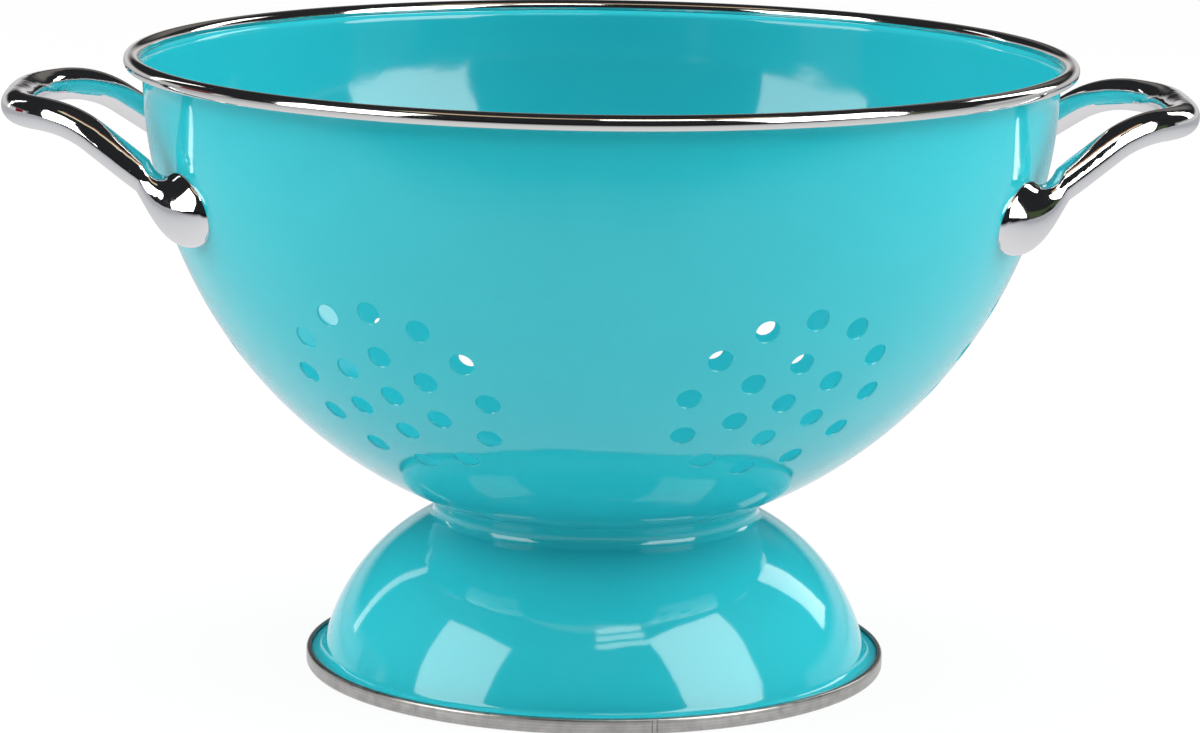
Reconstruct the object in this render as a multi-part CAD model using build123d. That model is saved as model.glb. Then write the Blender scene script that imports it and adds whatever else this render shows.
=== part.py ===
# Footed colander with two bow handles, in millimetres.
# The origin is the centre of the circle that the foot stands on, +Z is up and the handles lie along X.
import os
from math import asin, atan2, cos, degrees, radians, sin, sqrt, tan

from build123d import *

# Whole object
body_height = 180.6
bowl_diameter = 264.2
neck_diameter = 95.0
neck_height = 48.0
foot_diameter = 170.0

# Bowl
bowl_wall = 0.8
bowl_floor_inset = 4.5
bowl_floor_blend = 12.0
lip_bend_radius = 1.3
lip_length = 1.8

# Drain holes: clusters of one hole and its rings, six round the side and one in the floor
hole_diameter = 7.0
ring_pitch = 14.4
ring_counts = [6, 12]
ring_start_angle = 26.5
cluster_count = 6
first_cluster_angle = -62.8
cluster_height = 96.5

# Rim band: a round sheet roll closed over the bowl's lip
rim_band_diameter = 4.6
rim_sheet = 0.6
rim_band_gap = 0.8
lip_seat_rise = 0.2
lip_clearance = 0.1

# Foot skirt
skirt_wall = 0.8
skirt_dome_bulge = 6.3
skirt_toe_inset = 4.9
skirt_neck_length = 3.2
skirt_flange_width = 11.5
skirt_shoulder_radius = 1.0
skirt_neck_blend = 2.6
skirt_toe_blend = 2.3
skirt_edge_radius = 1.3

# Foot band: a hoop folded round the skirt's turned-down edge
foot_band_height = 4.5
foot_band_sheet = 0.8
foot_band_top_lip = 1.4
foot_band_bottom_lip = 4.0
foot_band_edge_radius = 0.5

# Handles
handle_projection = 40.1
handle_rod = 9.4
handle_drop = 15.2
handle_rise_angle = 35.3
handle_crown_radius = 28.3
handle_crown_inset = 8.7
handle_bend_length = 30.4
handle_bend_power = 3.3
handle_foot_spacing = 106.5
handle_tip_spacing = 66.2
handle_foot_width = 28.0
handle_foot_length = 21.5
handle_foot_swell = 16.0
handle_foot_turn = 22.0
handle_foot_sag = 3.4
handle_seat_clearance = 0.1
handle_root = 5.0
arm_point_count = 4
bend_point_count = 8
foot_section_count = 4
rod_section_count = 17

# Handle screws and washers
screw_diameter = 4.0
screw_length = 8.0
screw_head_diameter = 8.0
screw_head_height = 2.6
screw_head_edge_radius = 1.0
screw_slot_length = 4.4
screw_slot_width = 1.1
screw_slot_depth = 1.4
screw_hole_clearance = 0.5
thread_clearance = 0.1
tapped_hole_spare = 0.5
washer_diameter = 10.0
washer_thickness = 1.0
washer_seat_clearance = 0.2

# How far cutting tools run past the faces that they cut
overrun = 4.0

bowl_radius = bowl_diameter / 2
neck_radius = neck_diameter / 2
foot_radius = foot_diameter / 2
cluster_radius = ring_pitch * len(ring_counts) + hole_diameter / 2
lip_height = body_height - rim_band_diameter + rim_sheet + lip_seat_rise
sweep_top = lip_height - lip_bend_radius
sweep_depth = sweep_top - neck_height
sweep_width = bowl_radius - neck_radius + bowl_floor_inset
sweep_radius = (sweep_depth**2 + sweep_width**2) / (2 * sweep_width)
sweep_axis = bowl_radius - sweep_radius


def swept_radius(height):
    # outside radius of the bowl's curved side
    return sweep_axis + sqrt(sweep_radius**2 - (sweep_top - height) ** 2)


def wall_plane(height, angle):
    # plane on the bowl's outside face, with its X level and its Z pointing away from the bowl
    tilt = asin((sweep_top - height) / sweep_radius)
    radial = Vector(cos(radians(angle)), sin(radians(angle)), 0)
    level = Vector(-sin(radians(angle)), cos(radians(angle)), 0)
    origin = radial * swept_radius(height) + Vector(0, 0, height)
    return Plane(origin, x_dir=level, z_dir=radial * cos(tilt) - Vector(0, 0, sin(tilt)))


def turned(section):
    return revolve(Plane.XZ * section, Axis.Z)


def rounded(line, corners):
    # the line with each of its corner points rounded to that corner's radius
    for point, radius in corners:
        line = line.fillet_2d(radius, [line.vertices().sort_by_distance(point)[0]])
    return line


# Bowl

def bowl_outline():
    floor_edge = (bowl_radius - sweep_width, neck_height)
    sweep_angle = degrees(asin(sweep_depth / sweep_radius))
    bend_axis = bowl_radius + lip_bend_radius
    floor = Line((0, neck_height), floor_edge)
    side = CenterArc((sweep_axis, sweep_top), sweep_radius, -sweep_angle, sweep_angle)
    bend = CenterArc((bend_axis, sweep_top), lip_bend_radius, 180, -90)
    lip = Line((bend_axis, lip_height), (bend_axis + lip_length, lip_height))
    return rounded(Wire([floor, side, bend, lip]), [(floor_edge, bowl_floor_blend)])


def drain_punches(plane):
    # cylinders for one cluster, struck square to the plane
    spots = [Location()]
    for ring, count in enumerate(ring_counts, start=1):
        spots += PolarLocations(ring * ring_pitch, count, ring_start_angle)
    punch = Pos(0, 0, overrun) * Cylinder(
        hole_diameter / 2, overrun + cluster_radius, align=(Align.CENTER, Align.CENTER, Align.MAX)
    )
    return [plane * spot * punch for spot in spots]


def bowl():
    body = turned(make_face(offset(bowl_outline(), bowl_wall, side=Side.LEFT)))
    for step in range(cluster_count):
        angle = first_cluster_angle + step * 360 / cluster_count
        body -= drain_punches(wall_plane(cluster_height, angle))
    body -= drain_punches(Plane((0, 0, neck_height + bowl_wall)))
    hole = Cylinder((screw_diameter + screw_hole_clearance) / 2, 2 * overrun)
    return body - [plane * hole for plane in screw_planes().values()]


# Trims and foot

def rim_band():
    roll_radius = rim_band_diameter / 2
    centre = Pos(bowl_radius + rim_band_gap + roll_radius, body_height - roll_radius)
    roll = Circle(roll_radius) - Circle(roll_radius - rim_sheet)
    slot_depth = lip_bend_radius + lip_length + lip_clearance
    slot = Pos(bowl_radius, lip_height) * Rectangle(
        slot_depth, bowl_wall + lip_clearance, align=(Align.MIN, Align.MIN)
    )
    return turned(centre * roll - slot)


def skirt_outline():
    flange_height = foot_band_height - foot_band_sheet
    weld_edge = (neck_radius - skirt_flange_width, neck_height)
    shoulder = (neck_radius, neck_height)
    neck_foot = (neck_radius, neck_height - skirt_neck_length)
    toe = (foot_radius - skirt_toe_inset, flange_height)
    edge_corner = (foot_radius - foot_band_sheet, flange_height)
    edge_foot = (foot_radius - foot_band_sheet, foot_band_sheet)
    top = Polyline(weld_edge, shoulder, neck_foot)
    dome = SagittaArc(neck_foot, toe, skirt_dome_bulge)
    edge = Polyline(toe, edge_corner, edge_foot)
    corners = [
        (shoulder, skirt_shoulder_radius),
        (neck_foot, skirt_neck_blend),
        (toe, skirt_toe_blend),
        (edge_corner, skirt_edge_radius),
    ]
    return rounded(Wire([*top.edges(), *dome.edges(), *edge.edges()]), corners)


def foot_skirt():
    return turned(make_face(offset(skirt_outline(), skirt_wall, side=Side.RIGHT)))


def foot_band():
    top_lip = foot_radius - foot_band_top_lip
    bottom_lip = foot_radius - foot_band_bottom_lip
    face = foot_radius - foot_band_sheet
    fold = foot_band_height - foot_band_sheet
    outer_corners = [(foot_radius, 0), (foot_radius, foot_band_height)]
    line = Polyline(
        *outer_corners,
        (top_lip, foot_band_height),
        (top_lip, fold),
        (face, fold),
        (face, foot_band_sheet),
        (bottom_lip, foot_band_sheet),
        (bottom_lip, 0),
        close=True,
    )
    corners = [(point, foot_band_edge_radius) for point in outer_corners]
    return turned(make_face(rounded(Wire(line.edges()), corners)))


# Handles

def arm_height(reach):
    # height of the rod's middle at a distance from the bowl's axis: a straight rise, then the crown
    top = body_height - handle_drop
    crown = bowl_radius + handle_projection - handle_rod / 2 - handle_crown_inset
    rise_end = crown - handle_crown_radius * sin(radians(handle_rise_angle))
    if reach >= crown:
        return top
    if reach > rise_end:
        return top - handle_crown_radius + sqrt(handle_crown_radius**2 - (crown - reach) ** 2)
    crown_drop = handle_crown_radius * (1 - cos(radians(handle_rise_angle)))
    return top - crown_drop - (rise_end - reach) * tan(radians(handle_rise_angle))


def handle_foot():
    # reach and height of the point where the rod's middle meets the wall
    reach = bowl_radius
    for _ in range(20):
        height = arm_height(reach)
        reach = sqrt(swept_radius(height) ** 2 - (handle_foot_spacing / 2) ** 2)
    return reach, height


def handle_path():
    # middle line of the rod from the front foot round the tip to the back foot
    foot_reach, foot_height = handle_foot()
    tip = bowl_radius + handle_projection - handle_rod / 2
    bend_start = tip - handle_bend_length
    front = []
    for step in range(arm_point_count):
        front.append((foot_reach + (bend_start - foot_reach) * step / arm_point_count, 1))
    for step in range(bend_point_count + 1):
        turn = radians(90 * step / bend_point_count)
        swing = 2 / handle_bend_power
        front.append((bend_start + handle_bend_length * sin(turn) ** swing, abs(cos(turn)) ** swing))
    points = []
    for reach, share in front:
        taper = (reach - foot_reach) / (tip - foot_reach)
        spacing = handle_foot_spacing + (handle_tip_spacing - handle_foot_spacing) * taper
        points.append(Vector(reach, -spacing / 2 * share, arm_height(reach)))
    back = [Vector(point.X, -point.Y, point.Z) for point in reversed(points[:-1])]
    return Spline(*points, *back)


def rod_section(path, distance, outward):
    # ellipse across the rod: it swells, sags and turns square to the wall as it nears a foot
    near = min(distance, path.length - distance)
    share = min(near / handle_foot_swell, 1)
    swell = (1 - share**2) ** 2
    sag = handle_foot_sag * 4 * share * (1 - share)
    turn = max(1 - near / handle_foot_turn, 0)
    width = handle_rod + (handle_foot_width - handle_rod) * swell
    length = handle_rod + (handle_foot_length - handle_rod) * swell
    tangent = path.tangent_at(distance, position_mode=PositionMode.LENGTH)
    normal = (outward * turn + tangent * (1 - turn)).normalized()
    origin = path.position_at(distance, position_mode=PositionMode.LENGTH) - Vector(0, 0, sag)
    plane = Plane(origin, x_dir=Vector(0, 0, 1).cross(normal), z_dir=normal)
    return plane * Ellipse(width / 2, length / 2)


def screw_planes():
    # one plane on the wall for each screw, square to the wall
    reach, height = handle_foot()
    angle = degrees(atan2(handle_foot_spacing / 2, reach))
    angles = {
        "right_front": -angle,
        "right_back": angle,
        "left_back": 180 - angle,
        "left_front": 180 + angle,
    }
    return {name: wall_plane(height, turn) for name, turn in angles.items()}


def rod_sections():
    path = handle_path()
    planes = screw_planes()
    front = planes["right_front"].z_dir
    back = planes["right_back"].z_dir
    foot_steps = [handle_foot_swell * step / foot_section_count for step in range(foot_section_count)]
    rod_length = path.length - 2 * handle_foot_swell
    rod_step = rod_length / (rod_section_count - 1)
    rod_steps = [handle_foot_swell + rod_step * step for step in range(rod_section_count)]
    sections = [rod_section(path, distance, front) for distance in foot_steps + rod_steps]
    sections += [rod_section(path, path.length - distance, -back) for distance in reversed(foot_steps)]
    return [Pos(front * -handle_root) * sections[0], *sections, Pos(back * -handle_root) * sections[-1]]


def right_handle():
    # the bow, cut to the wall that it stands on and tapped for its screws
    bow = loft(rod_sections())
    seat_line = offset(bowl_outline(), handle_seat_clearance, side=Side.RIGHT, closed=False).edges()
    lip_end = (bowl_radius + lip_bend_radius + lip_length, lip_height - handle_seat_clearance)
    closing = Polyline(lip_end, (0, lip_height), (0, neck_height - handle_seat_clearance))
    bow -= turned(make_face(Wire([*seat_line, *closing.edges()])))
    tip = screw_length - washer_thickness - washer_seat_clearance - bowl_wall
    depth = tip + tapped_hole_spare + overrun
    tap = Pos(0, 0, -overrun) * Cylinder(
        (screw_diameter + thread_clearance) / 2, depth, align=(Align.CENTER, Align.CENTER, Align.MIN)
    )
    planes = screw_planes()
    return bow - [planes["right_front"] * tap, planes["right_back"] * tap]


# Screws and washers, drawn on the wall's outside face with the bowl's inside below it

washer_face = -(bowl_wall + washer_seat_clearance)


def screw():
    seat = washer_face - washer_thickness
    down = (Align.CENTER, Align.CENTER, Align.MAX)
    head = Cylinder(screw_head_diameter / 2, screw_head_height, align=down)
    head = fillet(head.edges().sort_by(Axis.Z)[0], screw_head_edge_radius)
    bottom = Pos(0, 0, -screw_head_height)
    for turn in (0, 90):
        slot = Box(screw_slot_length, screw_slot_width, 2 * screw_slot_depth)
        head -= bottom * Rot(0, 0, turn) * slot
    shank = Cylinder(screw_diameter / 2, screw_length, align=(Align.CENTER, Align.CENTER, Align.MIN))
    return Pos(0, 0, seat) * (head + shank)


def washer():
    down = (Align.CENTER, Align.CENTER, Align.MAX)
    disc = Cylinder(washer_diameter / 2, washer_thickness, align=down)
    disc -= Cylinder((screw_diameter + screw_hole_clearance) / 2, 2 * overrun)
    return Pos(0, 0, washer_face) * disc


def parts():
    right = right_handle()
    nodes = {
        "bowl": bowl(),
        "rim_band": rim_band(),
        "foot_skirt": foot_skirt(),
        "foot_band": foot_band(),
        "handle_right": right,
        "handle_left": mirror(right, Plane.YZ),
    }
    for name, plane in screw_planes().items():
        nodes[f"handle_screw_{name}"] = plane * screw()
        nodes[f"handle_washer_{name}"] = plane * washer()
    return nodes


os.makedirs("parts", exist_ok=True)
for name, part in parts().items():
    export_step(part, f"parts/{name}.step")
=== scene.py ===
# Footed colander with two bow handles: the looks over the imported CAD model.
# Metres, +Z up, the handles along X and the photographed side towards -Y.
import math

import bmesh
import bpy
from mathutils import Matrix, Vector
from mathutils.bvhtree import BVHTree


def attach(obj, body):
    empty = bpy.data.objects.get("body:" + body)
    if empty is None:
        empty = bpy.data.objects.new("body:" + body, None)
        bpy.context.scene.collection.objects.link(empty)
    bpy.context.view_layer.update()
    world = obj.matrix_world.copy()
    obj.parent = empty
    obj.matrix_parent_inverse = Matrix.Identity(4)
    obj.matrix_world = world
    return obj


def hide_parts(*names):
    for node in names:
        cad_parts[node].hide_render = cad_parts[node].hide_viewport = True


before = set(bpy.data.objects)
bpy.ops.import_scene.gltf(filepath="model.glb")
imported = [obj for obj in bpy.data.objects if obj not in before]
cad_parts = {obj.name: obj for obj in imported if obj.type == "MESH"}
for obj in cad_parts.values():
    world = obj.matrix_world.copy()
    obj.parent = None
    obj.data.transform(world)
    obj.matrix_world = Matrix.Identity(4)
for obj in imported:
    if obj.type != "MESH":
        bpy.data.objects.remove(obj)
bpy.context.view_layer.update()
mm = 0.001
# points of a turned shape that lie closer than this are one
mergeGap = 0.001 * mm
print("frame loaded:", len(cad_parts), "CAD nodes")


# Small helpers for meshes

def drawSection(start, moves):
    # one open line in the XZ plane, in millimetres: "line" runs to a point, "arc" turns about a centre
    section = bmesh.new()
    tip = bmesh.ops.create_vert(section, co=(start[0] * mm, 0, start[1] * mm))["vert"][0]
    for kind, point, *turn in moves:
        place = Vector((point[0] * mm, 0, point[1] * mm))
        if kind == "line":
            tip = bmesh.ops.extrude_vert_indiv(section, verts=[tip])["verts"][0]
            tip.co = place
        else:
            grown = bmesh.ops.spin(
                section, geom=[tip], cent=place, axis=(0, -1, 0), angle=math.radians(turn[0]), steps=turn[1]
            )
            tip = [part for part in grown["geom_last"] if isinstance(part, bmesh.types.BMVert)][0]
    return section


def roundCorner(section, point, radius, segments=6):
    # the corner nearest to the point becomes an arc that meets both of its lines smoothly
    place = Vector((point[0] * mm, 0, point[1] * mm))
    corner = min(section.verts, key=lambda vert: (vert.co - place).length)
    first, second = [(edge.other_vert(corner).co - corner.co) for edge in corner.link_edges]
    turn = math.pi - first.angle(second)
    bmesh.ops.bevel(
        section, geom=[corner], affect="VERTICES", offset=radius * mm * math.tan(turn / 2),
        offset_type="OFFSET", segments=segments, profile=0.5, material=-1,
    )


def turnRound(section, steps):
    # the section spun full circle about the colander's axis, closed at its pole
    bmesh.ops.spin(
        section, geom=section.verts[:] + section.edges[:], cent=(0, 0, 0), axis=(0, 0, 1),
        angle=2 * math.pi, steps=steps, use_merge=True,
    )
    bmesh.ops.remove_doubles(section, verts=section.verts[:], dist=mergeGap)
    bmesh.ops.recalc_face_normals(section, faces=section.faces[:])


def newObject(name, mesh):
    thing = bpy.data.objects.new(name, mesh)
    bpy.context.scene.collection.objects.link(thing)
    return thing


def toObject(name, made):
    mesh = bpy.data.meshes.new(name)
    made.to_mesh(mesh)
    made.free()
    return newObject(name, mesh)


def settle(piece):
    # the piece's mesh takes its modifiers in
    graph = bpy.context.evaluated_depsgraph_get()
    mesh = bpy.data.meshes.new_from_object(piece.evaluated_get(graph))
    piece.modifiers.clear()
    piece.data = mesh


def thicken(piece, thickness):
    # sheet metal: the drawn face stays outside and the sheet lies behind it
    sheet = piece.modifiers.new("sheet", "SOLIDIFY")
    sheet.thickness = thickness * mm
    sheet.offset = -1
    sheet.use_even_offset = True
    settle(piece)


def addDrill(cutter, place, radius, length, sides):
    # a round rod about the place, along its Z
    bmesh.ops.create_cone(
        cutter, cap_ends=True, segments=sides, radius1=radius * mm, radius2=radius * mm, depth=length * mm, matrix=place
    )


def cutWith(piece, cutter):
    cut = piece.modifiers.new("cut", "BOOLEAN")
    cut.operation = "DIFFERENCE"
    cut.solver = "EXACT"
    cut.object = cutter
    settle(piece)
    bpy.data.objects.remove(cutter)


def dressPiece(piece, material, nodes, sharpAngle=38):
    for face in piece.data.polygons:
        face.use_smooth = True
    piece.data.set_sharp_from_angle(angle=math.radians(sharpAngle))
    piece.data.materials.clear()
    piece.data.materials.append(material)
    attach(piece, "root")
    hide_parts(*nodes)
    print(piece.name, "made:", len(piece.data.polygons), "faces")


# Small helpers for materials

def linearColour(code):
    # sRGB hex to linear
    parts = [int(code[place:place + 2], 16) / 255 for place in (1, 3, 5)]
    return [part / 12.92 if part <= 0.04045 else ((part + 0.055) / 1.055) ** 2.4 for part in parts] + [1]


def addNode(tree, kind, values=None, links=None, **settings):
    node = tree.nodes.new(kind)
    for name, value in settings.items():
        setattr(node, name, value)
    for socket, value in (values or {}).items():
        node.inputs[socket].default_value = value
    for socket, source in (links or {}).items():
        tree.links.new(source, node.inputs[socket])
    return node


def newMaterial(name):
    material = bpy.data.materials.new(name)
    material.use_nodes = True
    material.node_tree.nodes.clear()
    return material


def perMetre(size):
    # a noise scale whose features are this many millimetres wide
    return 1 / (size * mm)


# Camera, set to the photo by the rim, the bowl and the foot hoop, in millimetres, degrees and photo pixels

view = {
    "place": (-27.35, -1305.61, 339.92),
    "forward": (0.02105, 0.98167, -0.18942),
    "roll": 0.75,
    "focalPixels": 4546.0,
    "sensorWidth": 36,
    "imageWidth": 1200,
}


def setCamera():
    camera = bpy.data.cameras.new("productCamera")
    camera.sensor_width = view["sensorWidth"]
    camera.lens = camera.sensor_width * view["focalPixels"] / view["imageWidth"]
    forward = Vector(view["forward"]).normalized()
    right = forward.cross(Vector((0, 0, 1))).normalized()
    up = right.cross(forward)
    roll = math.radians(view["roll"])
    across = right * math.cos(roll) + up * math.sin(roll)
    upright = up * math.cos(roll) - right * math.sin(roll)
    turn = Matrix((across, upright, -forward)).transposed().to_4x4()
    thing = newObject("productCamera", camera)
    thing.matrix_world = Matrix.Translation(Vector(view["place"]) * mm) @ turn
    bpy.context.scene.camera = thing


setCamera()
print("camera set")


# Materials

coat = {
    "colour": "#2AB0BD",
    "deepColour": "#24ABB9",
    "speckColour": "#1896A2",
    "gloss": 0.07,
    "ior": 1.55,
    "mottleSize": 26,
    "orangePeelSize": 2.4,
    "orangePeelDepth": 0.009,
    "sheetWaveSize": 24,
    "sheetWaveDepth": 0.38,
    "speckSpacing": 11,
    "speckSize": 0.28,
    "speckCore": 0.5,
    "speckRarity": 0.62,
}


def turquoiseEnamel():
    # sprayed and baked enamel on pressed steel: a clear hard gloss over a flat colour, with a faint
    # orange peel, the press's own slow waves in its reflections and a few dust nibs
    material = newMaterial("turquoise sprayed enamel")
    tree = material.node_tree
    spot = addNode(tree, "ShaderNodeTexCoord").outputs["Object"]
    mottle = addNode(
        tree, "ShaderNodeTexNoise", {"Scale": perMetre(coat["mottleSize"]), "Detail": 3}, {"Vector": spot}
    )
    tint = addNode(
        tree, "ShaderNodeMixRGB",
        {"Color1": linearColour(coat["colour"]), "Color2": linearColour(coat["deepColour"])},
        {"Fac": mottle.outputs["Fac"]},
    )
    cells = addNode(tree, "ShaderNodeTexVoronoi", {"Scale": perMetre(coat["speckSpacing"])}, {"Vector": spot})
    share = coat["speckSize"] / coat["speckSpacing"]
    near = addNode(
        tree, "ShaderNodeMapRange",
        {"From Min": share * coat["speckCore"], "From Max": share, "To Min": 1, "To Max": 0},
        {"Value": cells.outputs["Distance"]},
    )
    chosen = addNode(
        tree, "ShaderNodeMath", {1: coat["speckRarity"]}, {0: cells.outputs["Color"]}, operation="GREATER_THAN"
    )
    speck = addNode(
        tree, "ShaderNodeMath", None, {0: near.outputs["Result"], 1: chosen.outputs[0]}, operation="MULTIPLY"
    )
    colour = addNode(
        tree, "ShaderNodeMixRGB", {"Color2": linearColour(coat["speckColour"])},
        {"Fac": speck.outputs[0], "Color1": tint.outputs[0]},
    )
    wave = addNode(
        tree, "ShaderNodeTexNoise", {"Scale": perMetre(coat["sheetWaveSize"]), "Detail": 1}, {"Vector": spot}
    )
    slow = addNode(
        tree, "ShaderNodeBump", {"Strength": 1, "Distance": coat["sheetWaveDepth"] * mm},
        {"Height": wave.outputs["Fac"]},
    )
    peel = addNode(
        tree, "ShaderNodeTexNoise", {"Scale": perMetre(coat["orangePeelSize"]), "Detail": 2}, {"Vector": spot}
    )
    fine = addNode(
        tree, "ShaderNodeBump", {"Strength": 1, "Distance": coat["orangePeelDepth"] * mm},
        {"Height": peel.outputs["Fac"], "Normal": slow.outputs["Normal"]},
    )
    shader = addNode(
        tree, "ShaderNodeBsdfPrincipled", {"Roughness": coat["gloss"], "IOR": coat["ior"]},
        {"Base Color": colour.outputs[0], "Normal": fine.outputs["Normal"]},
    )
    addNode(tree, "ShaderNodeOutputMaterial", None, {"Surface": shader.outputs["BSDF"]})
    return material


def ringLines(tree, spacing):
    # noise that only changes with the distance from the axis and the height, so its lines run round the part
    spot = addNode(tree, "ShaderNodeTexCoord").outputs["Object"]
    split = addNode(tree, "ShaderNodeSeparateXYZ", None, {0: spot})
    flat = addNode(tree, "ShaderNodeCombineXYZ", None, {"X": split.outputs["X"], "Y": split.outputs["Y"]})
    reach = addNode(tree, "ShaderNodeVectorMath", None, {0: flat.outputs[0]}, operation="LENGTH")
    line = addNode(tree, "ShaderNodeCombineXYZ", None, {"X": reach.outputs["Value"], "Y": split.outputs["Z"]})
    return spot, addNode(
        tree, "ShaderNodeTexNoise", {"Scale": perMetre(spacing), "Detail": 3}, {"Vector": line.outputs[0]}
    )


rimFinish = {
    "colour": "#DEDDDB",
    "gloss": 0.06,
    "glossSpan": (0.7, 1.6),
    "lineSpacing": 0.35,
    "lineDepth": 0.0012,
    "waveSize": 14,
    "waveDepth": 0.02,
}


def polishedStainless():
    # rolled stainless buffed to a mirror: sharp reflections with faint lines left along the roll
    material = newMaterial("mirror-polished stainless steel")
    tree = material.node_tree
    spot, lines = ringLines(tree, rimFinish["lineSpacing"])
    wave = addNode(tree, "ShaderNodeTexNoise", {"Scale": perMetre(rimFinish["waveSize"])}, {"Vector": spot})
    slow = addNode(tree, "ShaderNodeBump", {"Distance": rimFinish["waveDepth"] * mm}, {"Height": wave.outputs["Fac"]})
    fine = addNode(
        tree, "ShaderNodeBump", {"Distance": rimFinish["lineDepth"] * mm},
        {"Height": lines.outputs["Fac"], "Normal": slow.outputs["Normal"]},
    )
    low, high = [rimFinish["gloss"] * part for part in rimFinish["glossSpan"]]
    gloss = addNode(tree, "ShaderNodeMapRange", {"To Min": low, "To Max": high}, {"Value": lines.outputs["Fac"]})
    shader = addNode(
        tree, "ShaderNodeBsdfPrincipled", {"Base Color": linearColour(rimFinish["colour"]), "Metallic": 1},
        {"Roughness": gloss.outputs["Result"], "Normal": fine.outputs["Normal"]},
    )
    addNode(tree, "ShaderNodeOutputMaterial", None, {"Surface": shader.outputs["BSDF"]})
    return material


hoopFinish = {
    "colour": "#B6B5B3",
    "darkColour": "#9A9997",
    "gloss": 0.3,
    "glossSpan": (0.75, 1.3),
    "lineSpacing": 0.6,
    "lineDepth": 0.01,
    "blotchSize": 3.5,
    "blotchSpan": (0.12, 0.38),
}


def satinStainless():
    # stainless strip rubbed with a fine pad: a soft grey sheen with lines along the strip and dull patches
    material = newMaterial("satin stainless steel")
    tree = material.node_tree
    spot, lines = ringLines(tree, hoopFinish["lineSpacing"])
    blotch = addNode(
        tree, "ShaderNodeTexNoise", {"Scale": perMetre(hoopFinish["blotchSize"]), "Detail": 4}, {"Vector": spot}
    )
    blend = addNode(
        tree, "ShaderNodeMath", None, {0: lines.outputs["Fac"], 1: blotch.outputs["Fac"]}, operation="MULTIPLY"
    )
    dullest, brightest = hoopFinish["blotchSpan"]
    patch = addNode(
        tree, "ShaderNodeMapRange", {"From Min": dullest, "From Max": brightest}, {"Value": blend.outputs[0]}
    )
    colour = addNode(
        tree, "ShaderNodeMixRGB",
        {"Color1": linearColour(hoopFinish["darkColour"]), "Color2": linearColour(hoopFinish["colour"])},
        {"Fac": patch.outputs["Result"]},
    )
    low, high = [hoopFinish["gloss"] * part for part in hoopFinish["glossSpan"]]
    gloss = addNode(tree, "ShaderNodeMapRange", {"To Min": low, "To Max": high}, {"Value": blotch.outputs["Fac"]})
    fine = addNode(tree, "ShaderNodeBump", {"Distance": hoopFinish["lineDepth"] * mm}, {"Height": lines.outputs["Fac"]})
    shader = addNode(
        tree, "ShaderNodeBsdfPrincipled", {"Metallic": 1},
        {"Base Color": colour.outputs[0], "Roughness": gloss.outputs["Result"], "Normal": fine.outputs["Normal"]},
    )
    addNode(tree, "ShaderNodeOutputMaterial", None, {"Surface": shader.outputs["BSDF"]})
    return material


chromeFinish = {
    "colour": "#E2E2E4",
    "gloss": 0.045,
    "glossSpan": (0.6, 1.5),
    "castWaveSize": 7,
    "castWaveDepth": 0.15,
    "pitSpacing": 2.6,
    "pitSize": 0.12,
    "pitCore": 0.4,
    "pitDepth": 0.01,
}


def chromePlate():
    # bright chrome over a hand-polished zinc casting: near-mirror, with soft ripples and pinpoint pits
    material = newMaterial("bright chrome plate on cast zinc")
    tree = material.node_tree
    spot = addNode(tree, "ShaderNodeTexCoord").outputs["Object"]
    ripple = addNode(
        tree, "ShaderNodeTexNoise", {"Scale": perMetre(chromeFinish["castWaveSize"]), "Detail": 2}, {"Vector": spot}
    )
    slow = addNode(
        tree, "ShaderNodeBump", {"Distance": chromeFinish["castWaveDepth"] * mm}, {"Height": ripple.outputs["Fac"]}
    )
    cells = addNode(tree, "ShaderNodeTexVoronoi", {"Scale": perMetre(chromeFinish["pitSpacing"])}, {"Vector": spot})
    share = chromeFinish["pitSize"] / chromeFinish["pitSpacing"]
    pit = addNode(
        tree, "ShaderNodeMapRange", {"From Min": share * chromeFinish["pitCore"], "From Max": share},
        {"Value": cells.outputs["Distance"]},
    )
    fine = addNode(
        tree, "ShaderNodeBump", {"Distance": chromeFinish["pitDepth"] * mm},
        {"Height": pit.outputs["Result"], "Normal": slow.outputs["Normal"]},
    )
    low, high = [chromeFinish["gloss"] * part for part in chromeFinish["glossSpan"]]
    haze = addNode(tree, "ShaderNodeMapRange", {"To Min": low, "To Max": high}, {"Value": ripple.outputs["Fac"]})
    shader = addNode(
        tree, "ShaderNodeBsdfPrincipled", {"Base Color": linearColour(chromeFinish["colour"]), "Metallic": 1},
        {"Roughness": haze.outputs["Result"], "Normal": fine.outputs["Normal"]},
    )
    addNode(tree, "ShaderNodeOutputMaterial", None, {"Surface": shader.outputs["BSDF"]})
    return material


screwFinish = {"colour": "#C4C2BF", "gloss": 0.28, "glossSpan": (0.7, 1.4), "grainSize": 0.6, "grainDepth": 0.006}


def plainStainless():
    # cold-headed screws and stamped washers: bright but not polished, with a fine tumbled grain
    material = newMaterial("tumbled stainless steel")
    tree = material.node_tree
    spot = addNode(tree, "ShaderNodeTexCoord").outputs["Object"]
    grain = addNode(
        tree, "ShaderNodeTexNoise", {"Scale": perMetre(screwFinish["grainSize"]), "Detail": 3}, {"Vector": spot}
    )
    low, high = [screwFinish["gloss"] * part for part in screwFinish["glossSpan"]]
    gloss = addNode(tree, "ShaderNodeMapRange", {"To Min": low, "To Max": high}, {"Value": grain.outputs["Fac"]})
    fine = addNode(
        tree, "ShaderNodeBump", {"Distance": screwFinish["grainDepth"] * mm}, {"Height": grain.outputs["Fac"]}
    )
    shader = addNode(
        tree, "ShaderNodeBsdfPrincipled", {"Base Color": linearColour(screwFinish["colour"]), "Metallic": 1},
        {"Roughness": gloss.outputs["Result"], "Normal": fine.outputs["Normal"]},
    )
    addNode(tree, "ShaderNodeOutputMaterial", None, {"Surface": shader.outputs["BSDF"]})
    return material


enamel = turquoiseEnamel()
mirrorSteel = polishedStainless()
satinSteel = satinStainless()
chrome = chromePlate()
screwSteel = plainStainless()
print("materials made")


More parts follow.
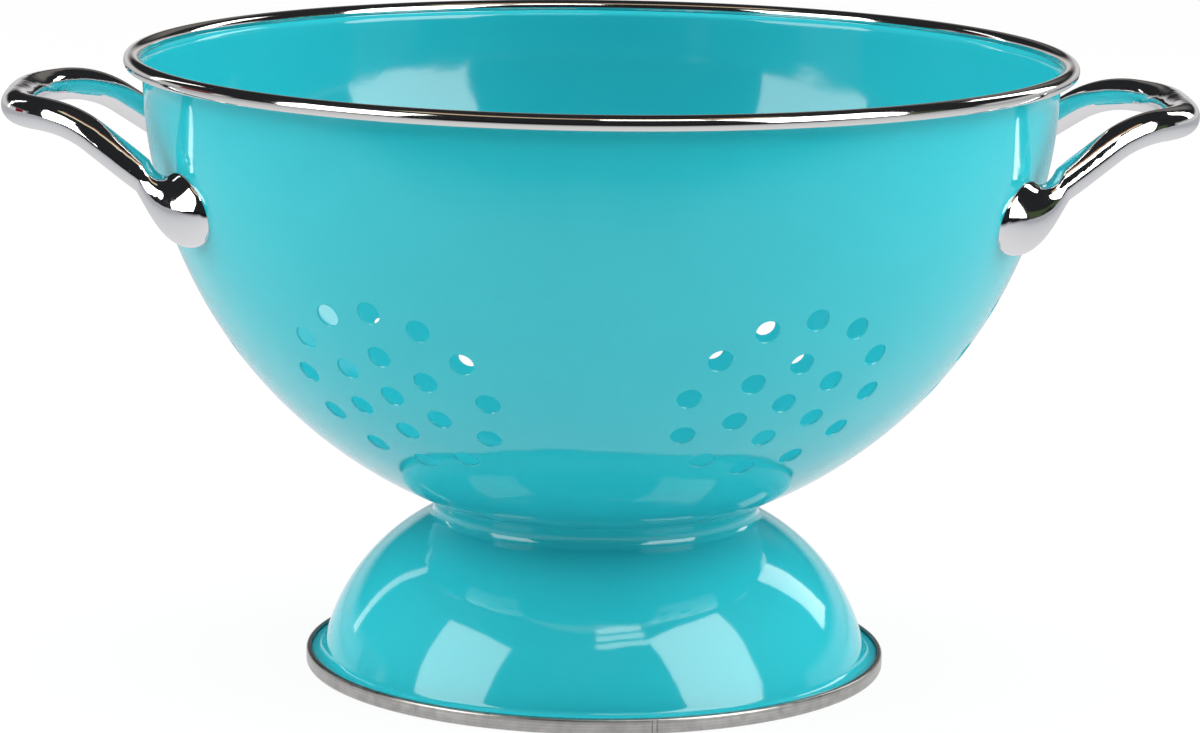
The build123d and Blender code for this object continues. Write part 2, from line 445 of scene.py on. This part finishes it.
# Bowl

bowl = {
    "wallRadius": 132.1,
    "neckRadius": 47.5,
    "floorInset": 4.5,
    "floorHeight": 48.0,
    "floorBlend": 12.0,
    "floorBlendSteps": 5,
    "floorRings": (12, 24, 36),
    "sweepTop": 175.5,
    "lipRadius": 1.3,
    "lipLength": 1.8,
    "lipSteps": 6,
    "wall": 0.8,
    "sideSteps": 66,
    "turnSteps": 320,
}
drainHoles = {
    "radius": 3.38,
    "pitch": 14.4,
    "rings": (6, 12),
    "startAngle": 26.5,
    "clusterHeight": 96.5,
    "firstCluster": -62.8,
    "clusters": 6,
    "sides": 24,
    # reach and depth of the rounded edge that the enamel leaves, from the wall's middle outwards
    "edge": ((0.0, 0.0), (0.03, 0.16), (0.11, 0.28), (0.3, 0.46)),
    # the cutter: its waist below the outside face, how far it reaches into and out of the bowl, its spare
    # width past the rounded edge, its step down through the floor, and how far off the wall its search starts
    "waist": 0.455,
    "inReach": 1.8,
    "outReach": 0.9,
    "spare": 0.2,
    "floorStep": 0.05,
    "castFrom": 20,
}
screwHole = {"radius": 2.25, "length": 6, "sides": 24}

sweepWidth = bowl["wallRadius"] - bowl["neckRadius"] + bowl["floorInset"]
sweepDepth = bowl["sweepTop"] - bowl["floorHeight"]
sweepRadius = (sweepDepth ** 2 + sweepWidth ** 2) / (2 * sweepWidth)
sweepAxis = bowl["wallRadius"] - sweepRadius


def sweepCentre(point):
    # centre of the wall's arc in the upright plane through the point, in metres
    flat = Vector((point.x, point.y, 0)).normalized()
    return flat * sweepAxis * mm + Vector((0, 0, bowl["sweepTop"] * mm))


def wallFrame(height, degrees):
    # on the wall's outside face: X level, Z away from the bowl
    tilt = math.asin((bowl["sweepTop"] - height) / sweepRadius)
    angle = math.radians(degrees)
    radial = Vector((math.cos(angle), math.sin(angle), 0))
    level = Vector((-math.sin(angle), math.cos(angle), 0))
    normal = radial * math.cos(tilt) - Vector((0, 0, math.sin(tilt)))
    reach = sweepAxis + math.sqrt(sweepRadius ** 2 - (bowl["sweepTop"] - height) ** 2)
    turn = Matrix((level, normal.cross(level), normal)).transposed().to_4x4()
    return Matrix.Translation((radial * reach + Vector((0, 0, height))) * mm) @ turn


def holeCutter():
    # one drain hole's cutter along Z: a plug that flares at both faces of the wall
    reach = drainHoles["radius"]
    edge = drainHoles["edge"]
    waist, low, high = drainHoles["waist"], -drainHoles["inReach"], drainHoles["outReach"]
    below = [(reach + grow, -away - waist) for grow, away in reversed(edge)]
    above = [(reach + grow, away - waist) for grow, away in edge[1:]]
    wide = reach + edge[-1][0] + drainHoles["spare"]
    points = [(wide, low), *below, *above, (wide, high), (0, high)]
    plug = drawSection((0, low), [("line", point) for point in points])
    turnRound(plug, drainHoles["sides"])
    mesh = bpy.data.meshes.new("plug")
    plug.to_mesh(mesh)
    plug.free()
    return mesh


def clusterSpots():
    spots = [Vector((0, 0, 0))]
    for ring, count in enumerate(drainHoles["rings"], start=1):
        for step in range(count):
            angle = math.radians(drainHoles["startAngle"] + 360 * step / count)
            spots.append(Vector((math.cos(angle), math.sin(angle), 0)) * ring * drainHoles["pitch"] * mm)
    return spots


def addPlug(plugs, plugMesh, place):
    before = len(plugs.verts)
    plugs.from_mesh(plugMesh)
    plugs.verts.ensure_lookup_table()
    bmesh.ops.transform(plugs, matrix=place, verts=plugs.verts[before:])


def makeBowl():
    reach = bowl["wallRadius"]
    sweep = math.degrees(math.asin(sweepDepth / sweepRadius))
    corner = (reach - sweepWidth, bowl["floorHeight"])
    bendAxis = reach + bowl["lipRadius"]
    lipHeight = bowl["sweepTop"] + bowl["lipRadius"]
    shell = drawSection((0, bowl["floorHeight"]), [
        *[("line", (ring, bowl["floorHeight"])) for ring in bowl["floorRings"]],
        ("line", corner),
        ("arc", (sweepAxis, bowl["sweepTop"]), sweep, bowl["sideSteps"]),
        ("arc", (bendAxis, bowl["sweepTop"]), -90, bowl["lipSteps"]),
        ("line", (bendAxis + bowl["lipLength"], lipHeight)),
    ])
    roundCorner(shell, corner, bowl["floorBlend"], bowl["floorBlendSteps"])
    turnRound(shell, bowl["turnSteps"])
    floorFace = min(shell.faces, key=lambda face: face.calc_center_median().z)
    if floorFace.normal.z > 0:
        # an open cup can come out inside out, and its sheet would then lie outside
        bmesh.ops.reverse_faces(shell, faces=shell.faces[:])
    surface = BVHTree.FromBMesh(shell)
    piece = toObject("bowlShell", shell)
    thicken(piece, bowl["wall"])

    plugMesh = holeCutter()
    plugs = bmesh.new()
    for cluster in range(drainHoles["clusters"]):
        turn = drainHoles["firstCluster"] + 360 * cluster / drainHoles["clusters"]
        base = wallFrame(drainHoles["clusterHeight"], turn)
        punch = -base.col[2].to_3d()
        for spot in clusterSpots():
            hit = surface.ray_cast(base @ spot - punch * (drainHoles["castFrom"] * mm), punch)[0]
            away = (hit - sweepCentre(hit)).normalized()
            addPlug(plugs, plugMesh, Matrix.Translation(hit) @ away.to_track_quat("Z", "Y").to_matrix().to_4x4())
    floorMiddle = Vector((0, 0, (bowl["floorHeight"] - drainHoles["floorStep"]) * mm))
    for spot in clusterSpots():
        addPlug(plugs, plugMesh, Matrix.Translation(spot + floorMiddle) @ Matrix.Rotation(math.pi, 4, "X"))
    for place in screwFrames():
        addDrill(plugs, place, screwHole["radius"], screwHole["length"], screwHole["sides"])
    cutWith(piece, toObject("drainPlugs", plugs))
    dressPiece(piece, enamel, ["bowl"])


# Handles

handle = {
    "projection": 40.1,
    "rod": 9.4,
    "topHeight": 165.4,
    "riseAngle": 35.3,
    "crownRadius": 28.3,
    "crownInset": 8.7,
    "bendLength": 30.4,
    "bendPower": 3.3,
    "footSpacing": 106.5,
    "tipSpacing": 66.2,
    "footWidth": 28.0,
    "footLength": 21.5,
    "footSwell": 16.0,
    "footTurn": 22.0,
    "footSag": 3.4,
    "sides": 48,
    "footSections": 16,
    "rodSections": 44,
    "bite": 0.3,
    "tapRadius": 2.05,
    "tapDepth": 7.2,
    "tapSides": 24,
    "searchRounds": 20,
    "straightSteps": 60,
    "bendSteps": 200,
    "jointRings": (0.25, 0.6, 0.92, 1),
    # points of the middle line that its direction is taken over, and steps in finding the wall
    "tangentBack": 4,
    "tangentOn": 3,
    "wallRounds": 4,
    "mirrorMerge": 0.01,
    "merge": 0.002,
    "sharpAngle": 50,
}


def armHeight(reach):
    # height of the rod's middle: a straight rise from the wall, then the crown
    crown = bowl["wallRadius"] + handle["projection"] - handle["rod"] / 2 - handle["crownInset"]
    rise = math.radians(handle["riseAngle"])
    riseEnd = crown - handle["crownRadius"] * math.sin(rise)
    if reach >= crown:
        return handle["topHeight"]
    if reach > riseEnd:
        arc = math.sqrt(handle["crownRadius"] ** 2 - (crown - reach) ** 2)
        return handle["topHeight"] - handle["crownRadius"] + arc
    crownDrop = handle["crownRadius"] * (1 - math.cos(rise))
    return handle["topHeight"] - crownDrop - (riseEnd - reach) * math.tan(rise)


def footPlace():
    reach = bowl["wallRadius"]
    for _ in range(handle["searchRounds"]):
        height = armHeight(reach)
        wall = sweepAxis + math.sqrt(sweepRadius ** 2 - (bowl["sweepTop"] - height) ** 2)
        reach = math.sqrt(wall ** 2 - (handle["footSpacing"] / 2) ** 2)
    return reach, height


def screwFrames():
    reach, height = footPlace()
    angle = math.degrees(math.atan2(handle["footSpacing"] / 2, reach))
    return [wallFrame(height, turn) for turn in (-angle, angle, 180 - angle, 180 + angle)]


def rodLine():
    # middle line of half a handle, from the front foot to the middle of the tip, and the length run at each point
    footReach = footPlace()[0]
    tip = bowl["wallRadius"] + handle["projection"] - handle["rod"] / 2
    bendStart = tip - handle["bendLength"]
    swing = 2 / handle["bendPower"]
    straight, bend = handle["straightSteps"], handle["bendSteps"]
    trail = [(footReach + (bendStart - footReach) * step / straight, 1) for step in range(straight)]
    for step in range(bend + 1):
        turn = math.radians(90 * step / bend)
        trail.append((bendStart + handle["bendLength"] * math.sin(turn) ** swing, abs(math.cos(turn)) ** swing))
    points = []
    for reach, share in trail:
        taper = (reach - footReach) / (tip - footReach)
        spacing = handle["footSpacing"] + (handle["tipSpacing"] - handle["footSpacing"]) * taper
        points.append(Vector((reach, -spacing / 2 * share, armHeight(reach))) * mm)
    points[-1].y = 0
    lengths = [0]
    for before, after in zip(points, points[1:]):
        lengths.append(lengths[-1] + (after - before).length)
    return points, lengths


def alongRod(points, lengths, distance):
    # place and direction on the middle line
    far = next((step for step, length in enumerate(lengths) if length >= distance), len(lengths) - 1)
    far = max(far, 1)
    span = lengths[far] - lengths[far - 1]
    share = (distance - lengths[far - 1]) / span
    reachBack = points[max(far - handle["tangentBack"], 0)]
    reachOn = points[min(far + handle["tangentOn"], len(points) - 1)]
    return points[far - 1].lerp(points[far], share), (reachOn - reachBack).normalized()


def onWall(point, normal, depth):
    # the point moved along the wall's normal until it lies this deep in the sheet
    for _ in range(handle["wallRounds"]):
        outside = (point - sweepCentre(point)).length - sweepRadius * mm
        point = point - normal * (outside + depth * mm)
    return point


def makeHandle():
    points, lengths = rodLine()
    whole = lengths[-1]
    wall = screwFrames()[0]
    outward = wall.col[2].to_3d()
    swell = handle["footSwell"] * mm
    stops = [swell * (step / handle["footSections"]) for step in range(handle["footSections"])]
    stops += [swell + (whole - swell) * step / handle["rodSections"] for step in range(handle["rodSections"] + 1)]
    bar = bmesh.new()
    loops = []
    for stop in stops:
        place, along = alongRod(points, lengths, stop)
        share = min(stop / swell, 1)
        bulge = (1 - share ** 2) ** 2
        sag = handle["footSag"] * 4 * share * (1 - share) * mm
        turn = max(1 - stop / (handle["footTurn"] * mm), 0)
        width = handle["rod"] + (handle["footWidth"] - handle["rod"]) * bulge
        length = handle["rod"] + (handle["footLength"] - handle["rod"]) * bulge
        normal = (outward * turn + along * (1 - turn)).normalized()
        if stop == stops[-1]:
            normal = Vector((0, 1, 0))
        level = Vector((0, 0, 1)).cross(normal).normalized()
        upward = normal.cross(level)
        frameHere = Matrix((level * width / 2, upward * length / 2, normal)).transposed().to_4x4()
        frameHere = Matrix.Translation(place - Vector((0, 0, sag))) @ frameHere
        if not loops:
            # the joint with the wall: rings that lie in the sheet, so that the foot is closed behind
            for size in handle["jointRings"]:
                ring = bmesh.ops.create_circle(
                    bar, cap_ends=not loops, segments=handle["sides"], radius=size * mm, matrix=frameHere
                )["verts"]
                for vert in ring:
                    vert.co = onWall(vert.co, outward, handle["bite"])
                loops.append(ring)
        loops.append(bmesh.ops.create_circle(bar, segments=handle["sides"], radius=1 * mm, matrix=frameHere)["verts"])
    for one, two in zip(loops, loops[1:]):
        edges = list({edge for vert in one for edge in vert.link_edges if edge.other_vert(vert) in one})
        edges += list({edge for vert in two for edge in vert.link_edges if edge.other_vert(vert) in two})
        bmesh.ops.bridge_loops(bar, edges=edges)
    for vert in loops[-1]:
        vert.co.y = 0
    half = bar.verts[:] + bar.edges[:] + bar.faces[:]
    bmesh.ops.mirror(bar, geom=half, axis="Y", merge_dist=handle["mirrorMerge"] * mm)
    bmesh.ops.remove_doubles(bar, verts=bar.verts[:], dist=handle["merge"] * mm)
    bmesh.ops.recalc_face_normals(bar, faces=bar.faces[:])
    return bar


def makeHandles():
    right = makeHandle()
    left = right.copy()
    bmesh.ops.scale(left, vec=(-1, 1, 1), verts=left.verts[:])
    bmesh.ops.recalc_face_normals(left, faces=left.faces[:])
    for name, bar, node in (("rightHandle", right, "handle_right"), ("leftHandle", left, "handle_left")):
        piece = toObject(name, bar)
        taps = bmesh.new()
        for place in screwFrames():
            addDrill(taps, place, handle["tapRadius"], 2 * handle["tapDepth"], handle["tapSides"])
        cutWith(piece, toObject("screwTaps", taps))
        dressPiece(piece, chrome, [node], handle["sharpAngle"])


# Rim roll, foot skirt and foot hoop

rim = {
    "diameter": 4.6,
    "gap": 0.8,
    "sheet": 0.6,
    "top": 180.6,
    "mouthTop": 195.1,
    "mouthBottom": 220.7,
    "rollSteps": 40,
    "turnSteps": 320,
}


def makeRim():
    roll = rim["diameter"] / 2
    centre = (bowl["wallRadius"] + rim["gap"] + roll, rim["top"] - roll)
    first = math.radians(rim["mouthBottom"])
    start = (centre[0] + roll * math.cos(first), centre[1] + roll * math.sin(first))
    section = drawSection(start, [("arc", centre, 360 + rim["mouthTop"] - rim["mouthBottom"], rim["rollSteps"])])
    turnRound(section, rim["turnSteps"])
    piece = toObject("rimRoll", section)
    thicken(piece, rim["sheet"])
    dressPiece(piece, mirrorSteel, ["rim_band"])


skirt = {
    "weldRadius": 36.0,
    "neckRadius": 47.5,
    "topHeight": 48.0,
    "neckLength": 3.2,
    "domeBulge": 6.3,
    "toe": (80.1, 3.7),
    "edgeRadius": 84.2,
    "edgeFoot": 0.8,
    "shoulder": 1.0,
    "neckBlend": 2.6,
    "toeBlend": 2.3,
    "edgeBlend": 1.3,
    "wall": 0.8,
    "domeSteps": 26,
    "turnSteps": 288,
    "weldTop": (49.9, 50.8),
    "weldCentre": (53.44, 45.9),
    "weldTurn": 57,
    "weldSteps": 8,
    "weldBack": 45.6,
    "weldBite": 0.9,
}


def makeSkirt():
    shoulder = (skirt["neckRadius"], skirt["topHeight"])
    neckFoot = (skirt["neckRadius"], skirt["topHeight"] - skirt["neckLength"])
    toe = skirt["toe"]
    edgeCorner = (skirt["edgeRadius"], toe[1])
    chord = Vector((toe[0] - neckFoot[0], toe[1] - neckFoot[1]))
    half = chord.length / 2
    domeRadius = (half ** 2 + skirt["domeBulge"] ** 2) / (2 * skirt["domeBulge"])
    inward = Vector((chord.y, -chord.x)).normalized()
    middle = Vector(neckFoot) + chord / 2
    domeCentre = middle + inward * (domeRadius - skirt["domeBulge"])
    domeTurn = -2 * math.degrees(math.asin(half / domeRadius))
    section = drawSection((skirt["weldRadius"], skirt["topHeight"]), [
        ("line", shoulder),
        ("line", neckFoot),
        ("arc", tuple(domeCentre), domeTurn, skirt["domeSteps"]),
        ("line", edgeCorner),
        ("line", (skirt["edgeRadius"], skirt["edgeFoot"])),
    ])
    roundCorner(section, shoulder, skirt["shoulder"])
    roundCorner(section, neckFoot, skirt["neckBlend"])
    roundCorner(section, toe, skirt["toeBlend"])
    roundCorner(section, edgeCorner, skirt["edgeBlend"])
    turnRound(section, skirt["turnSteps"])
    piece = toObject("footBell", section)
    thicken(piece, skirt["wall"])
    # the weld round the neck, which the enamel fills out to a hollow fillet under the bowl
    whole = bmesh.new()
    whole.from_mesh(piece.data)
    weld = drawSection(skirt["weldTop"], [
        ("arc", skirt["weldCentre"], skirt["weldTurn"], skirt["weldSteps"]),
        ("line", (skirt["weldBack"], neckFoot[1])),
        ("line", (skirt["weldBack"], skirt["topHeight"] + skirt["weldBite"])),
        ("line", skirt["weldTop"]),
    ])
    turnRound(weld, skirt["turnSteps"])
    fillet = bpy.data.meshes.new("weld")
    weld.to_mesh(fillet)
    weld.free()
    whole.from_mesh(fillet)
    whole.to_mesh(piece.data)
    whole.free()
    dressPiece(piece, enamel, ["foot_skirt"])


hoop = {
    "radius": 85.0,
    "height": 4.5,
    "topLip": 1.4,
    "bottomLip": 4.0,
    "edge": 0.85,
    "sheet": 0.8,
    "turnSteps": 288,
    "seamAngle": -79.6,
    "seamGap": 1.4,
    "seamWidth": 0.45,
    "seamDepth": 0.55,
}


def makeHoop():
    reach = hoop["radius"]
    section = drawSection((reach - hoop["topLip"], hoop["height"]), [
        ("line", (reach, hoop["height"])),
        ("line", (reach, 0)),
        ("line", (reach - hoop["bottomLip"], 0)),
    ])
    roundCorner(section, (reach, hoop["height"]), hoop["edge"])
    roundCorner(section, (reach, 0), hoop["edge"])
    turnRound(section, hoop["turnSteps"])
    piece = toObject("footHoop", section)
    thicken(piece, hoop["sheet"])
    # the two fine lines where the strip's ends butt round a tongue: each blade stands half in the strip
    lines = bmesh.new()
    for side in (-1, 1):
        size = Matrix.Diagonal((2 * hoop["seamDepth"] * mm, hoop["seamWidth"] * mm, 3 * hoop["height"] * mm, 1))
        place = Matrix.Translation((reach * mm, side * hoop["seamGap"] / 2 * mm, 0))
        turn = Matrix.Rotation(math.radians(hoop["seamAngle"]), 4, "Z")
        bmesh.ops.create_cube(lines, size=1, matrix=turn @ place @ size)
    cutWith(piece, toObject("seamBlades", lines))
    dressPiece(piece, satinSteel, ["foot_band"])


makeBowl()
makeRim()
makeSkirt()
makeHoop()
makeHandles()
for name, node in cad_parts.items():
    if name.startswith(("handle_screw", "handle_washer")):
        node.data.materials.clear()
        node.data.materials.append(screwSteel)
print("pieces dressed")


# Floor, room and lamps

studio = {
    "ambientFront": 0.02,
    "ambientBack": 0.40,
    "ambientSpan": (-0.8, 0.5),
    "ambientAbove": 1.6,
    "aboveSpan": (0.45, 0.95),
    "lampColour": "#FFFDF8",
    "floorSize": 8,
    "floorColour": "#E0E0E0",
    "floorGlow": 0.88,
    # the floor's reflections show a painted pool of light: bright near the colander, greyer further out, dark past the
    # table's front
    "poolSpan": (0.15, 0.9),
    "tableFront": (-0.34, -0.64),
    "tableTones": ("#F0F0F1", "#B7B9BD", "#1B1C20"),
    "softboxes": (
        # name, azimuth, distance, middle height, width, height, brightness, what it does
        ("leftSoftbox", 200, 1.5, 0.75, 1.1, 1.4, 0.8, "lights"),
        ("rightSoftbox", -28, 1.5, 0.8, 1.2, 1.5, 1.2, "lights"),
        ("leftFill", 172, 1.6, 0.9, 1.3, 1.6, 4.1, "lights"),
        ("rightFill", 6, 1.6, 0.9, 1.3, 1.6, 4.3, "lights"),
        ("frontFill", -90, 1.5, 1.25, 1.2, 0.8, 2.6, "lights"),
        ("leftWindow", 207, 1.5, 0.62, 0.95, 1.15, 4.6, "shines"),
        ("rightWindow", -36, 1.5, 0.82, 1.1, 1.5, 5.4, "shines"),
        ("blindLow", -76, 1.5, 1.72, 0.8, 0.11, 4.4, "shines"),
        ("blindMiddle", -76, 1.5, 2.02, 0.8, 0.13, 4.4, "shines"),
        ("blindHigh", -76, 1.5, 2.36, 0.8, 0.15, 4.4, "shines"),
        ("rightBackStrip", 37, 1.5, 0.8, 0.36, 0.95, 4.0, "shines"),
        ("leftBackStrip", 141, 1.5, 0.6, 0.12, 0.9, 2.4, "shines"),
    ),
    "lampTarget": (0, 0, 0.1),
    "darkRoom": "#27282A",
    "cloths": (
        # what only reflections show of the room: azimuth and half width, height above the
        # horizon and half height, softness of the edges, all in degrees, then the colour
        ("paleBackdrop", 90, 78, -6, 11, 5, "#D6D3D2"),
        ("paleFold", 80, 14, 25, 5, 9, "#77736F"),
        ("warmEdge", -95, 74, 66, 1.6, 1.4, "#A86A4C"),
        ("ceilingSlot", -95, 74, 61, 2.6, 1.6, "#F7E8C4"),
        ("plant", -9, 5, 5, 6, 2, "#46543A"),
        ("redCard", 158, 6, 3, 4, 2, "#7A1620"),
    ),
}


def seenDirectly(tree):
    # 1 for camera, glossy and transmission rays, so that the light on matt faces has levels of its own
    ray = addNode(tree, "ShaderNodeLightPath")
    seen = ray.outputs["Is Camera Ray"]
    for kind in ("Is Glossy Ray", "Is Transmission Ray"):
        seen = addNode(tree, "ShaderNodeMath", None, {0: seen, 1: ray.outputs[kind]}, operation="MAXIMUM").outputs[0]
    return ray, seen


def within(tree, value, middle, reach, soft):
    # 1 inside the span and 0 outside it, with a soft edge
    away = addNode(tree, "ShaderNodeMath", {1: middle}, {0: value}, operation="SUBTRACT")
    size = addNode(tree, "ShaderNodeMath", None, {0: away.outputs[0]}, operation="ABSOLUTE")
    return addNode(
        tree, "ShaderNodeMapRange", {"From Min": reach, "From Max": reach + soft, "To Min": 1, "To Max": 0},
        {"Value": size.outputs[0]},
    ).outputs["Result"]


def product(tree, one, two):
    return addNode(tree, "ShaderNodeMath", None, {0: one, 1: two}, operation="MULTIPLY").outputs[0]


def makeFloor():
    slab = bmesh.new()
    bmesh.ops.create_grid(slab, x_segments=1, y_segments=1, size=studio["floorSize"] / 2)
    floor = toObject("studioFloor", slab)
    material = newMaterial("matt white studio board")
    tree = material.node_tree
    ray, seen = seenDirectly(tree)
    # all glow in reflections, and to the eye as much as leaves a soft shadow
    eye = addNode(tree, "ShaderNodeMath", {1: studio["floorGlow"]}, {0: seen}, operation="MULTIPLY")
    share = addNode(
        tree, "ShaderNodeMath", None, {0: eye.outputs[0], 1: ray.outputs["Is Glossy Ray"]}, operation="MAXIMUM"
    )
    board = addNode(tree, "ShaderNodeBsdfDiffuse", {"Color": linearColour(studio["floorColour"])})
    # in reflections alone: a painted pool of light on the board, which ends a little way in front of the colander
    spot = addNode(tree, "ShaderNodeTexCoord").outputs["Object"]
    split = addNode(tree, "ShaderNodeSeparateXYZ", None, {0: spot})
    far = addNode(tree, "ShaderNodeVectorMath", None, {0: spot}, operation="LENGTH")
    nearest, furthest = studio["poolSpan"]
    reach = addNode(
        tree, "ShaderNodeMapRange", {"From Min": nearest, "From Max": furthest}, {"Value": far.outputs["Value"]}
    )
    edge = addNode(
        tree, "ShaderNodeMapRange",
        {"From Min": studio["tableFront"][0], "From Max": studio["tableFront"][1]}, {"Value": split.outputs["Y"]},
    )
    nearTone, farTone, darkTone = [linearColour(tone) for tone in studio["tableTones"]]
    pool = addNode(
        tree, "ShaderNodeMixRGB", {"Color1": nearTone, "Color2": farTone}, {"Fac": reach.outputs["Result"]}
    )
    table = addNode(
        tree, "ShaderNodeMixRGB", {"Color2": darkTone}, {"Fac": edge.outputs["Result"], "Color1": pool.outputs[0]}
    )
    tone = addNode(
        tree, "ShaderNodeMixRGB", {"Color1": linearColour("#FFFFFF")},
        {"Fac": ray.outputs["Is Glossy Ray"], "Color2": table.outputs[0]},
    )
    glow = addNode(tree, "ShaderNodeEmission", {"Strength": 1}, {"Color": tone.outputs[0]})
    blend = addNode(
        tree, "ShaderNodeMixShader", None, {0: share.outputs[0], 1: board.outputs[0], 2: glow.outputs[0]}
    )
    addNode(tree, "ShaderNodeOutputMaterial", None, {"Surface": blend.outputs[0]})
    floor.data.materials.append(material)


def makeRoom():
    # white to the eye; reflections show the dark room behind the lamps and what stands in it
    world = bpy.data.worlds.new("studioRoom")
    world.use_nodes = True
    tree = world.node_tree
    tree.nodes.clear()
    ray, seen = seenDirectly(tree)
    direction = addNode(tree, "ShaderNodeTexCoord").outputs["Generated"]
    split = addNode(tree, "ShaderNodeSeparateXYZ", None, {0: direction})
    turn = addNode(tree, "ShaderNodeMath", None, {0: split.outputs["Y"], 1: split.outputs["X"]}, operation="ARCTAN2")
    rise = addNode(tree, "ShaderNodeMath", None, {0: split.outputs["Z"]}, operation="ARCSINE")
    azimuth = addNode(tree, "ShaderNodeMath", None, {0: turn.outputs[0]}, operation="DEGREES").outputs[0]
    height = addNode(tree, "ShaderNodeMath", None, {0: rise.outputs[0]}, operation="DEGREES").outputs[0]
    colour = addNode(
        tree, "ShaderNodeMixRGB", {"Color1": linearColour("#FFFFFF"), "Color2": linearColour(studio["darkRoom"])},
        {"Fac": ray.outputs["Is Glossy Ray"]},
    )
    for name, middle, reach, up, tall, soft, shade in studio["cloths"]:
        mask = product(tree, within(tree, azimuth, middle, reach, soft), within(tree, height, up, tall, soft))
        colour = addNode(
            tree, "ShaderNodeMixRGB", {"Color2": linearColour(shade)},
            {"Fac": product(tree, mask, ray.outputs["Is Glossy Ray"]), "Color1": colour.outputs[0]}, label=name,
        )
    frontEdge, backEdge = studio["ambientSpan"]
    ambient = addNode(
        tree, "ShaderNodeMapRange",
        {
            "From Min": frontEdge, "From Max": backEdge,
            "To Min": studio["ambientFront"], "To Max": studio["ambientBack"],
        },
        {"Value": split.outputs["Y"]},
    )
    aboveStart, aboveFull = studio["aboveSpan"]
    overhead = addNode(
        tree, "ShaderNodeMapRange",
        {"From Min": aboveStart, "From Max": aboveFull, "To Max": studio["ambientAbove"]},
        {"Value": split.outputs["Z"], "To Min": ambient.outputs["Result"]},
    )
    level = addNode(
        tree, "ShaderNodeMapRange", {"To Max": 1}, {"Value": seen, "To Min": overhead.outputs["Result"]}
    )
    sky = addNode(
        tree, "ShaderNodeBackground", None, {"Color": colour.outputs[0], "Strength": level.outputs["Result"]}
    )
    addNode(tree, "ShaderNodeOutputWorld", None, {"Surface": sky.outputs[0]})
    bpy.context.scene.world = world


def makeLamps():
    target = Vector(studio["lampTarget"])
    for name, azimuth, distance, height, width, tall, level, work in studio["softboxes"]:
        lamp = bpy.data.lights.new(name, "AREA")
        lamp.shape = "RECTANGLE"
        lamp.size = width
        lamp.size_y = tall
        # the power that gives a panel of this size this brightness
        lamp.energy = level * math.pi * width * tall
        lamp.color = linearColour(studio["lampColour"])[:3]
        thing = newObject(name, lamp)
        angle = math.radians(azimuth)
        thing.location = (distance * math.cos(angle), distance * math.sin(angle), height)
        thing.rotation_euler = (target - thing.location).to_track_quat("-Z", "Y").to_euler()
        thing.visible_camera = False
        thing.visible_glossy = work == "shines"
        thing.visible_diffuse = work == "lights"


makeFloor()
makeRoom()
makeLamps()
bpy.context.scene.view_settings.view_transform = "Standard"
print("studio ready")
